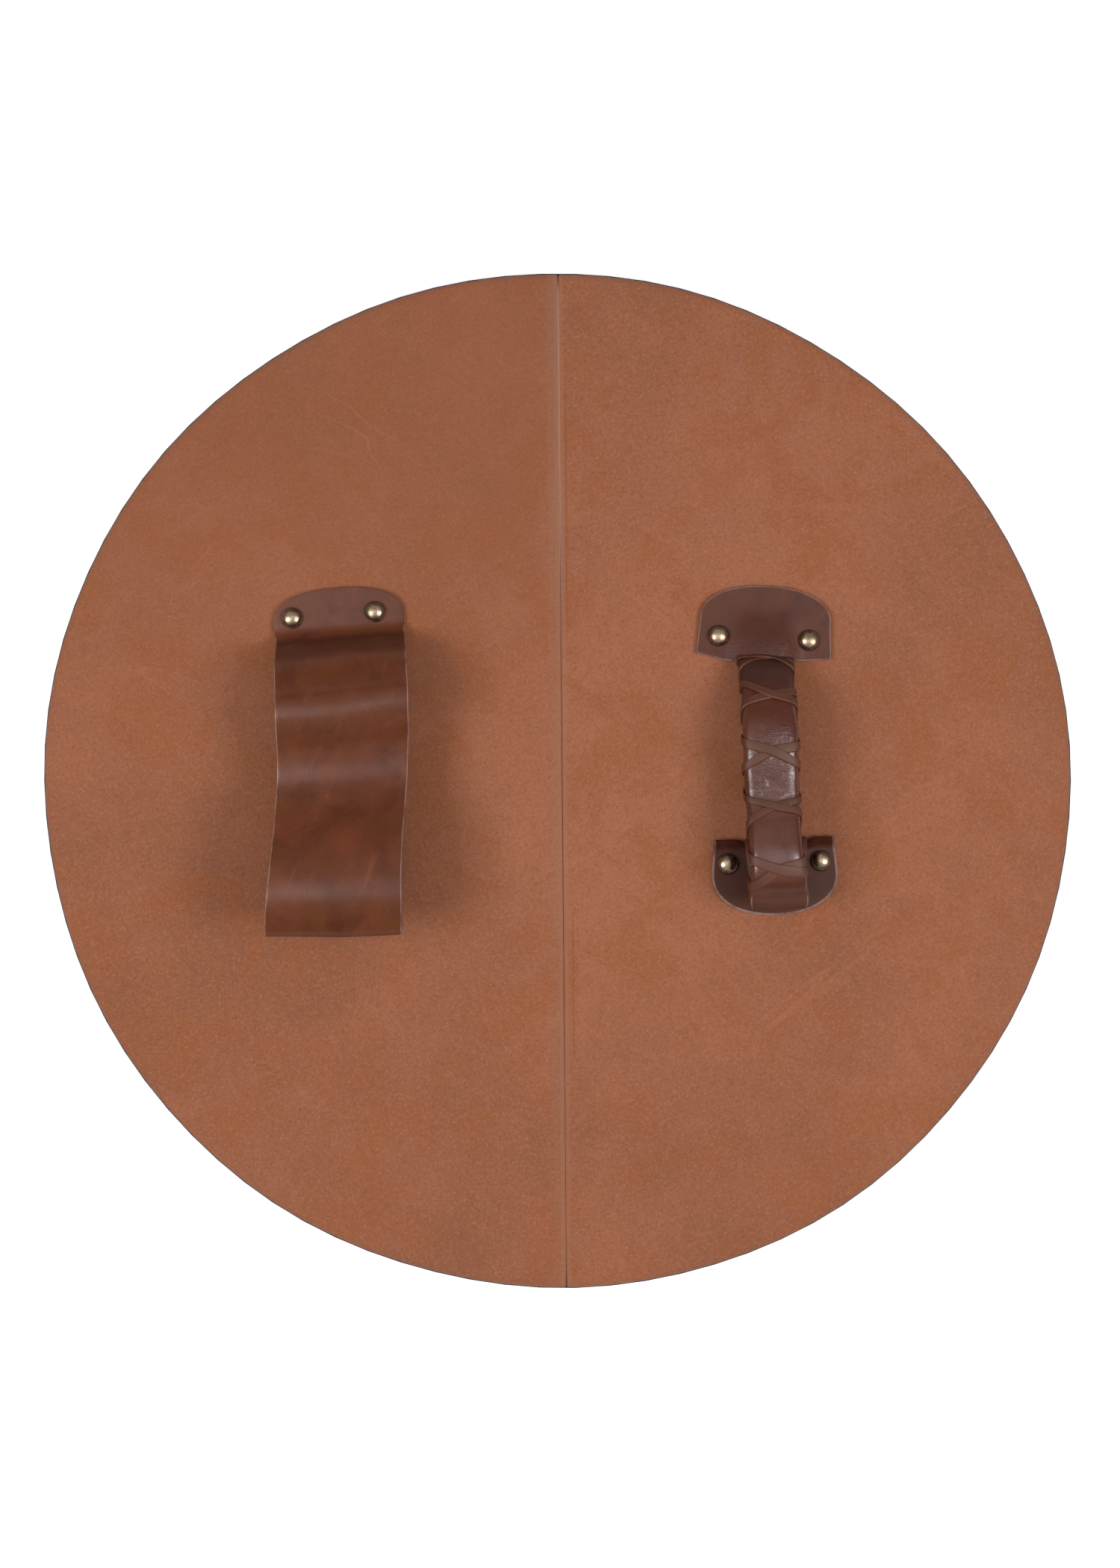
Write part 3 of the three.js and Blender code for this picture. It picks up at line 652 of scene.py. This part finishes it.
def angles_round_roll():
    """Angles of the roll's section, and for each how far round its skin it lies, in radians."""
    angles = np.linspace(-math.pi, math.pi, 1441)
    skin = np.array([(bulge(math.sin(a)) * 32, bulge(math.cos(a)) * 15) for a in angles])
    gone = np.concatenate([[0.0], np.cumsum(np.linalg.norm(np.diff(skin, axis=0), axis=1))])
    return angles, (gone / gone[-1] * 2 - 1) * math.pi


ROLL_ROUND = angles_round_roll()


def roll_point(route, distance, turn, lift=0.0):
    """Place on the grip's roll at a distance along it and a way round its skin from its face."""
    here, across, out = route.frame(distance)
    angle = float(np.interp(turn, ROLL_ROUND[1], ROLL_ROUND[0]))
    side = bulge(math.sin(angle)) * (here[3] / 2 + lift)
    up = bulge(math.cos(angle)) * (here[5] / 2 + lift)
    return here[:3] + across * side + out * up


# ---------------------------------------------------------------- operators


class SHIELD_OT_suede_panels(Operator):
    """Make the two suede panels of the back, turned down over the rim and meeting in a seam"""
    bl_idname = "shield.suede_panels"
    bl_label = "Suede panels"

    def execute(self, context):
        sizes = context.scene.shield_sizes
        suede = suede_finish(context.scene.shield_colours.suede)
        shells = []
        thick = sizes.cover_thickness
        circle = {"vertices": sizes.rim_steps, "radius": 1, "fill_type": "NGON", "location": (0, 0, 0)}
        for name, inset, foot, top, turn in (
            ("suede_shell", COVER_REVEAL, COVER_FOOT, COVER_TOP, sizes.rim_round),
            ("board_room", COVER_REVEAL + thick / MM, 0.0, COVER_TOP - thick / MM, sizes.rim_round - thick),
        ):
            shell = start_piece(bpy.ops.mesh.primitive_circle_add, name, **circle)
            for vertex in shell.data.vertices:
                angle = math.atan2(vertex.co.y, vertex.co.x) + math.pi / sizes.rim_steps
                radius = (rim_radius(angle) - inset) * MM
                vertex.co = (radius * math.cos(angle), radius * math.sin(angle), foot * MM)
            edit(shell, lambda face: True)
            bpy.ops.mesh.extrude_region_move(TRANSFORM_OT_translate={"value": (0, 0, (top - foot) * MM)})
            bpy.ops.mesh.select_all(action="SELECT")
            bpy.ops.mesh.normals_make_consistent(inside=False)
            leave()
            edit(shell, lambda edge: all(v.co.z > (top - 0.01) * MM for v in edge.verts), "EDGE")
            bpy.ops.mesh.bevel(offset=turn, segments=8, affect="EDGES")
            leave()
            edit(shell, lambda face: face.normal.z > 0.999 and face.calc_area() > 0.1)
            bpy.ops.mesh.inset(thickness=0.006)
            leave()
            shells.append(shell)
        shell, room = shells
        apply_modifier(shell, "BOOLEAN", object=room, operation="DIFFERENCE", solver="EXACT")
        bpy.data.objects.remove(room)
        for name, side in (("back_cover_left", -1), ("back_cover_right", 1)):
            select_only(shell)
            bpy.ops.object.duplicate()
            panel = context.object
            panel.name = panel.data.name = name.replace("back_cover", "suede_panel")
            across = Vector((1, SEAM_SLOPE, 0)).normalized() * side
            seam = Vector((SEAM_X * MM, 0, 0)) + across * 0.00015
            edit(panel, lambda face: True)
            bpy.ops.mesh.bisect(plane_co=seam, plane_no=across, use_fill=True, clear_inner=True, threshold=1e-6)
            bpy.ops.mesh.select_all(action="SELECT")
            bpy.ops.mesh.normals_make_consistent(inside=False)
            bpy.ops.mesh.bisect(plane_co=seam + across * 0.006, plane_no=across, threshold=1e-6)
            for level in range(-280, 281, 20):
                bpy.ops.mesh.select_all(action="SELECT")
                bpy.ops.mesh.bisect(plane_co=(0, level * MM, 0), plane_no=(0, 1, 0), threshold=1e-6)
            leave()

            def seam_edge(edge):
                if len(edge.link_faces) != 2 or any(abs((v.co - seam).dot(across)) > 2e-6 for v in edge.verts):
                    return False
                middle = sum((v.co for v in edge.verts), Vector()) / 2
                cut = min(edge.link_faces, key=lambda face: face.normal.dot(across))
                other = next(face for face in edge.link_faces if face is not cut)
                return other.normal.dot(Vector((0, math.copysign(1, middle.y), 1))) > 0.6

            edit(panel, seam_edge, "EDGE")
            bpy.ops.mesh.bevel(offset=sizes.seam_round, segments=5, affect="EDGES")
            leave()
            for vertex in panel.data.vertices:
                height = vertex.co.y
                shut = max(smooth_step(height, 0.02, 0.19), smooth_step(-height, 0.10, 0.18) * 0.76, 0.62)
                away = (vertex.co - seam).dot(across)
                if away < sizes.seam_round * 1.2 and abs(height) < 0.297:
                    sunk = COVER_TOP * MM - vertex.co.z
                    vertex.co.z += sunk * 0.86 * shut if sunk < sizes.seam_round * 1.2 else 0
                    vertex.co -= across * (0.00013 * shut if away < 0.0002 else 0)
            finish_piece(panel, "suede", [suede], name)
        bpy.data.objects.remove(shell)
        return {"FINISHED"}


class SHIELD_OT_board(Operator):
    """Give the planks of the board their dark stained wood"""
    bl_idname = "shield.board"
    bl_label = "Board"

    def execute(self, context):
        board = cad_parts["board"]
        board.data.materials.clear()
        board.data.materials.append(wood_finish(context.scene.shield_colours.wood))
        return {"FINISHED"}


class SHIELD_OT_arm_strap(Operator):
    """Make the wide arm strap, bent in its wave from tab to tab"""
    bl_idname = "shield.arm_strap"
    bl_label = "Arm strap"

    def execute(self, context):
        sizes, colours = context.scene.shield_sizes, context.scene.shield_colours
        route = Route(STRAP_LINE)
        frames = {}

        def place(share, distance):
            if distance not in frames:
                frames[distance] = route.frame(distance)
            here, across, out = frames[distance]
            left = route.length - distance
            width = end_share(distance, *STRAP_END) * end_share(left, *STRAP_END)
            side = share * here[3] / 2 * width
            free = smooth_step(distance, 0.032, 0.06) * smooth_step(left, 0.03, 0.06)
            ripple = noise.noise((side * 22, distance * 26, 3.1)) * 0.0011
            ripple += noise.noise((side * 60, distance * 55, 8.4)) * 0.00035
            cup = -0.0007 * share * share
            inside = inside_edge(side, here[3] / 2, min(distance, left), *STRAP_END)
            inside += EDGE_REACH * (1 - smooth_step(distance, 0.012, 0.03))
            spot = here[:3] + across * side + out * (ripple + cup) * free
            return spot, side, (0, dull_slope(out), 0, inside)

        rows = sheet_rows(route.length, 0.018, 0.0021)
        strap = bent_sheet("arm_strap_leather", 36, rows, place, sizes.strap_thickness, 0.0009)
        finishes = [
            smooth_leather("strap_leather", colours.strap, 0.34, 0.37, 0.37, colours.cut_edge, 0.0005),
            flesh_side_finish(shade(colours.strap, 1.5)),
            cut_edge_finish("cut_edge", colours.cut_edge),
        ]
        finish_piece(strap, "strap_leather", finishes, "arm_strap")
        return {"FINISHED"}


class SHIELD_OT_grip(Operator):
    """Make the hand grip: the rolled leather and the two flat tabs at its ends"""
    bl_idname = "shield.grip"
    bl_label = "Grip"

    def execute(self, context):
        sizes, colours = context.scene.shield_sizes, context.scene.shield_colours
        grip, cut = colours.grip, colours.cut_edge
        upper = smooth_leather("grip_leather", grip, 0.44, 0.29, 0.81, shade(cut, 0.8), 0.0005)
        # Painted shade: the lower tab's leather is the grip's colour darkened, for the roll's shadow over it.
        lower = smooth_leather("lower_tab_shaded_leather", shade(grip, 0.8), 0.44, 0.22, 0.67, cut, 0.0012)
        polished = smooth_leather("roll_leather", grip, 0.35, 0.50, 0.52, cut, 0.0005, 0.4)
        others = [flesh_side_finish(shade(colours.grip, 1.6)), bpy.data.materials["cut_edge"]]
        route = Route(ROLL_LINE)
        around, step = 96, 0.0010
        count = round(route.length / step)
        roll = start_grid("grip_roll", around, count)
        spots, measures = [], []
        fold = float(route.gone[np.argmin(route.rows[:, 1])])
        for vertex in roll.data.vertices:
            angle = vertex.co.x * math.pi
            distance = (vertex.co.y + 1) / 2 * route.length
            spots.append((angle / (2 * math.pi) * ROLL_GIRTH, distance))
            vertex.co = roll_point(route, distance, angle)
            face = 1 - smooth_step(abs(angle), 0.72, 1.05)
            creased = smooth_step(distance, 0.062, 0.082) * (1 - smooth_step(distance, 0.112, 0.12))
            worn = smooth_step(distance, 0.052, 0.076) * (1 - smooth_step(distance, 0.158, 0.168))
            worn += dull_slope(route.frame(distance)[2])
            # Painted shade: the roll is darkened where it rises steeply from the upper tab, and a little before its
            # fold.
            shadow = smooth_step(distance, fold - 0.016, fold - 0.004) * 0.3
            dark = max(1 - smooth_step(distance, 0.042, 0.06), shadow)
            to_fold = abs(distance - fold + 0.0011) if abs(angle) < 1.15 else 1.0
            to_side = abs(abs(angle) - 1.12) * 0.015 if fold - 0.014 < distance < fold else 1.0
            measures.append((creased * face, worn, dark, max(1 - min(to_fold, to_side) / EDGE_REACH, 0.0)))
        map_pattern(roll, spots, measures)
        close_tube(roll)
        finish_piece(roll, "strap_leather", [polished], "grip")
        for name, tab, leather in (("grip_tab_upper", UPPER_TAB, upper), ("grip_tab_lower", LOWER_TAB, lower)):
            piece = self.tab(name, tab, sizes.tab_thickness)
            finish_piece(piece, "strap_leather", [leather, *others], "grip")
        return {"FINISHED"}

    def tab(self, name, tab, thickness):
        turned = Matrix.Rotation(math.radians(tab["turn"]), 3, "Z")
        length, reach, out = tab["length"] * MM, tab["round"] * MM, tab["out"]
        tip = [d for d in sheet_rows(length, reach, 0.0015) if d < 0.0135]
        near_root = [0.0105, 0.008, 0.006, 0.0044, 0.0032, 0.0022, 0.0014, 0.0008, 0.0003, 0]
        rows = tip + list(np.linspace(0.015, length - 0.0125, 14)) + [length - d for d in near_root]

        def place(share, distance):
            from_root = length - distance
            straight = tab["shoulder"] + (tab["root"] - tab["shoulder"]) * smooth_step(distance, reach, length)
            side = share * straight * MM * end_share(distance, reach)
            near = 1 - smooth_step(from_root, 0, 0.012)
            if out > 0:
                slack = (0.0034 if share < 0 else 0.0014) * smooth_step(abs(share), 0.97, 0.5)
                hump = (1 - smooth_step(from_root, 0, 0.030)) * (1 - smooth_step(abs(share), 0.22, 0.62))
                lift = 0.0046 * hump
            else:
                slack = -(0.0008 if share < 0 else 0.0030) * smooth_step(abs(share), 0.72, 0.45)
                curl = max(1 - from_root / 0.0058, 0.0)
                lift = 0.0038 * curl * curl * smooth_step(abs(share), 0.4, 0.62)
            flat = Vector((side, out * (from_root - slack * near), 0))
            root = Vector((tab["x"] * MM, tab["y"] * MM, (LEATHER_BOTTOM * MM) + thickness / 2 + lift))
            pulled = (1 - smooth_step(from_root, 0.006, 0.014)) * (1 - smooth_step(abs(share), 0.38, 0.6))
            if out > 0:
                # Painted shade: the upper tab is darker in its middle next to the roll, where it rises into it.
                dark = 1 - smooth_step(abs(side + 0.001), 0.004, 0.026)
                dark *= 1 - smooth_step(from_root, 0.014, 0.040)
            else:
                # Painted shadow: the lower tab's left half is darkened for the roll's shadow over it.
                dark = 0.45 * (1 - smooth_step(share, -0.2, 0.3))
            at_root = from_root if out > 0 and abs(share) > 0.45 else 1.0
            inside = min(inside_edge(side, straight * MM, distance, reach), at_root)
            return turned @ flat + root, side, (pulled * 0.5, 0, dark * 0.55, inside)

        return bent_sheet(name, 56, rows, place, thickness, 0.0006)


class SHIELD_OT_lace(Operator):
    """Wind the two thongs of the lace round the grip's roll"""
    bl_idname = "shield.lace"
    bl_label = "Lace"

    def execute(self, context):
        sizes, colours = context.scene.shield_sizes, context.scene.shield_colours
        finishes = [
            smooth_leather("thong_leather", colours.thong, 0.48, 0.34, 0.13),
            # The lace's cut edges: their own tan, partly painted highlight.
            cut_edge_finish("thong_edge_and_highlight", colours.thong_edge_and_highlight),
        ]
        for name, way, over, beside in (
            ("lace_thong_over", 1, sizes.lace_thickness, LACE_OVER),
            ("lace_thong_under", -1, 0.0, LACE_UNDER),
        ):
            thong = self.thong(name, way, over, beside, sizes)
            finish_piece(thong, "thong_leather", finishes, "grip_lace")
        return {"FINISHED"}

    def thong(self, name, way, over, beside, sizes):
        route = Route(ROLL_LINE)
        last = len(LACE_CROSSINGS) - 1
        first, final, step = -120, last * 360 + 150, 6
        count = round((final - first) / step)
        knots, places = [first - 60], [LACE_TOP]
        for crossing, (distance, (before, after)) in enumerate(zip(LACE_CROSSINGS, beside)):
            knots += [crossing * 360 - LACE_SIDE, crossing * 360, crossing * 360 + LACE_SIDE]
            places += [distance + before, distance, distance + after]
        turns = np.arange(first - 60.0, final + 61.0, 3.0)
        weights = np.hanning(19)
        wound = np.convolve(np.interp(turns, knots, places), weights / weights.sum(), "same")
        half, thick = sizes.lace_width / 2, sizes.lace_thickness
        low = thick * 0.45
        section = [
            (-half + 0.0002, 0), (0, 0), (half - 0.0002, 0), (half, 0.0001), (half, low),
            (half - 0.0005, thick), (half - 0.0008, thick * 1.04), (0, thick * 1.1), (-half + 0.0004, thick * 1.04),
            (-half + 0.0002, thick), (-half, thick * 0.75), (-half, 0.0001),
        ]
        thong = start_grid(name, len(section), count)
        spots = []
        for vertex in thong.data.vertices:
            corner = round((vertex.co.x + 1) / 2 * len(section)) % len(section)
            turn = first + (vertex.co.y + 1) / 2 * (final - first)
            past = turn - min(max(round(turn / 360), 0), last) * 360
            along = max(np.interp(turn, turns, wound), LACE_TOP) * MM
            wide, high = section[corner]
            lift = 0.00012 + over * math.exp(-(past / 36) ** 2)
            lift += over * math.exp(-((abs(past) - 180) / 36) ** 2)
            distance = min(max(along + wide, 0.0), route.length)
            spots.append((wide, turn / 360 * LACE_TURN))
            bearing = (past + 180) % 360 - 180
            vertex.co = roll_point(route, distance, way * math.radians(bearing), lift + high)
        map_pattern(thong, spots)
        for face in thong.data.polygons:
            across = [spots[i][0] for i in face.vertices]
            if min(across) > half - 0.00055 or max(across) < -half + 0.00025:
                face.material_index = 1
        close_tube(thong)
        return thong


class SHIELD_OT_rivets(Operator):
    """Turn the brass rivets: a dome, a shank through the layers and a peened end"""
    bl_idname = "shield.rivets"
    bl_label = "Rivets"

    def execute(self, context):
        sizes = context.scene.shield_sizes
        brass = brass_finish(context.scene.shield_colours.brass)
        for places, leather in ((STRAP_RIVETS, sizes.strap_thickness), (GRIP_RIVETS, sizes.tab_thickness)):
            model = self.rivet(sizes, LEATHER_BOTTOM * MM + leather + 0.00005)
            for name, (x, y) in places.items():
                select_only(model)
                bpy.ops.object.duplicate()
                rivet = context.object
                rivet.name = rivet.data.name = name.replace("rivet", "brass_rivet")
                rivet.location = (x * MM, y * MM, 0)
                finish_piece(rivet, "rivet_brass", [brass], name)
            bpy.data.objects.remove(model)
        return {"FINISHED"}

    def rivet(self, sizes, seat):
        radius, shank, peen = sizes.dome_width / 2, 0.002, 0.0029
        sphere = {"segments": 48, "ring_count": 32, "radius": radius, "location": (0, 0, 0)}
        model = start_piece(bpy.ops.mesh.primitive_uv_sphere_add, "rivet_model", **sphere)
        edit(model, lambda face: True)
        bpy.ops.transform.resize(value=(1, 1, sizes.dome_height / radius))
        bpy.ops.mesh.bisect(plane_co=(0, 0, 0), plane_no=(0, 0, 1), use_fill=True, clear_inner=True)
        bpy.ops.mesh.select_all(action="SELECT")
        bpy.ops.transform.translate(value=(0, 0, seat))
        leave()
        for vertex in model.data.vertices:
            from_axis = min(vertex.co.to_2d().length / radius, 1.0)
            cap = DOME_CROWN * (1 - from_axis ** 2)
            vertex.co.z = seat + sizes.dome_height * (cap + (1 - DOME_CROWN) * (1 - from_axis ** 8) ** 0.4)
        edit(model, lambda face: face.normal.z < -0.99 and face.calc_area() > 1e-5)
        bpy.ops.mesh.inset(thickness=radius - shank)
        bpy.ops.mesh.extrude_region_move(TRANSFORM_OT_translate={"value": (0, 0, 0.0016 - seat)})
        bpy.ops.mesh.extrude_region_move(TRANSFORM_OT_translate={"value": (0, 0, -0.0011)})
        bpy.ops.transform.resize(value=(peen / shank, peen / shank, 1))
        bpy.ops.mesh.extrude_region_move(TRANSFORM_OT_translate={"value": (0, 0, -0.0002)})
        bpy.ops.transform.resize(value=(0.86, 0.86, 1))
        leave()

        def at_foot(edge):
            return all(abs(v.co.z - seat) < 1e-6 and v.co.to_2d().length > radius * 0.98 for v in edge.verts)

        edit(model, at_foot, "EDGE")
        bpy.ops.mesh.bevel(offset=0.0003, segments=3, affect="EDGES")
        leave()
        return model


class SHIELD_OT_stage(Operator):
    """Set the floor, the studio lights and the camera"""
    bl_idname = "shield.stage"
    bl_label = "Stage"

    def execute(self, context):
        scene = context.scene
        floor = start_piece(bpy.ops.mesh.primitive_plane_add, "studio_floor", size=12, location=(0, 0, -0.0003))
        floor.data.materials.append(floor_finish(scene.shield_colours.floor))
        self.softbox("left_softbox", (-0.95, -0.21, 1.45), (0.62, 0.62), 13.1)
        self.softbox("right_softbox", (0.95, -0.21, 1.45), (0.62, 0.62), 13.1)
        self.softbox("overhead_strip", (0, 0, 2.2), (2.2, 1.2), 6.6, (1.0, 0.86, 0.96))
        scene.world = self.room()
        scene.view_settings.view_transform = "Standard"
        scene.view_settings.look = "None"
        bpy.ops.object.select_all(action="DESELECT")
        bpy.ops.object.camera_add(location=CAMERA_PLACE, rotation=(0, 0, 0))
        camera = context.object
        camera.name = "photo_camera"
        camera.data.lens = SENSOR * FRAME_DISTANCE / FRAME_HEIGHT
        camera.data.clip_start, camera.data.clip_end = 0.05, 50
        scene.camera = camera
        return {"FINISHED"}

    def room(self):
        """The studio round the shield: dark at the height of the floor, pale overhead."""
        room = bpy.data.worlds.new("studio")
        room.use_nodes = True
        tree = room.node_tree
        way = tree.nodes.new("ShaderNodeTexCoord")
        axes = tree.nodes.new("ShaderNodeSeparateXYZ")
        climb = tree.nodes.new("ShaderNodeMapRange")
        climb.interpolation_type = "SMOOTHSTEP"
        for socket, value in {"From Min": 0.25, "From Max": 0.95, "To Min": 0.08, "To Max": 0.55}.items():
            climb.inputs[socket].default_value = value
        back = tree.nodes["Background"]
        back.inputs["Color"].default_value = (1, 1, 1, 1)
        tree.links.new(way.outputs["Generated"], axes.inputs[0])
        tree.links.new(axes.outputs[2], climb.inputs["Value"])
        tree.links.new(climb.outputs[0], back.inputs["Strength"])
        return room

    def softbox(self, name, place, size, power, colour=(1, 1, 1)):
        bpy.ops.object.select_all(action="DESELECT")
        bpy.ops.object.light_add(type="AREA", location=place)
        light = bpy.context.object
        light.name = name
        light.data.shape = "RECTANGLE"
        light.data.size, light.data.size_y = size
        light.data.energy, light.data.color = power, colour
        light.rotation_mode = "QUATERNION"
        light.rotation_quaternion = Vector(place).to_track_quat("Z", "Y")


class SHIELD_PT_workshop(Panel):
    """Lists what the shield is made of"""
    bl_label = "Wooden round shield"
    bl_space_type = "VIEW_3D"
    bl_region_type = "UI"
    bl_category = "Shield"

    def draw(self, context):
        for operator in STEPS:
            self.layout.operator(operator.bl_idname)
        for group in (context.scene.shield_sizes, context.scene.shield_colours):
            column = self.layout.column()
            for key in group.__annotations__:
                column.prop(group, key)


STEPS = (
    SHIELD_OT_stage,
    SHIELD_OT_board,
    SHIELD_OT_suede_panels,
    SHIELD_OT_arm_strap,
    SHIELD_OT_grip,
    SHIELD_OT_lace,
    SHIELD_OT_rivets,
)
CLASSES = (ShieldSizes, ShieldColours, *STEPS, SHIELD_PT_workshop)


def register():
    for one in CLASSES:
        bpy.utils.register_class(one)
    bpy.types.Scene.shield_sizes = PointerProperty(type=ShieldSizes)
    bpy.types.Scene.shield_colours = PointerProperty(type=ShieldColours)


def unregister():
    del bpy.types.Scene.shield_colours
    del bpy.types.Scene.shield_sizes
    for one in reversed(CLASSES):
        bpy.utils.unregister_class(one)


def main():
    register()
    for step in STEPS:
        group, name = step.bl_idname.split(".")
        getattr(getattr(bpy.ops, group), name)()


if __name__ == "__main__":
    main()
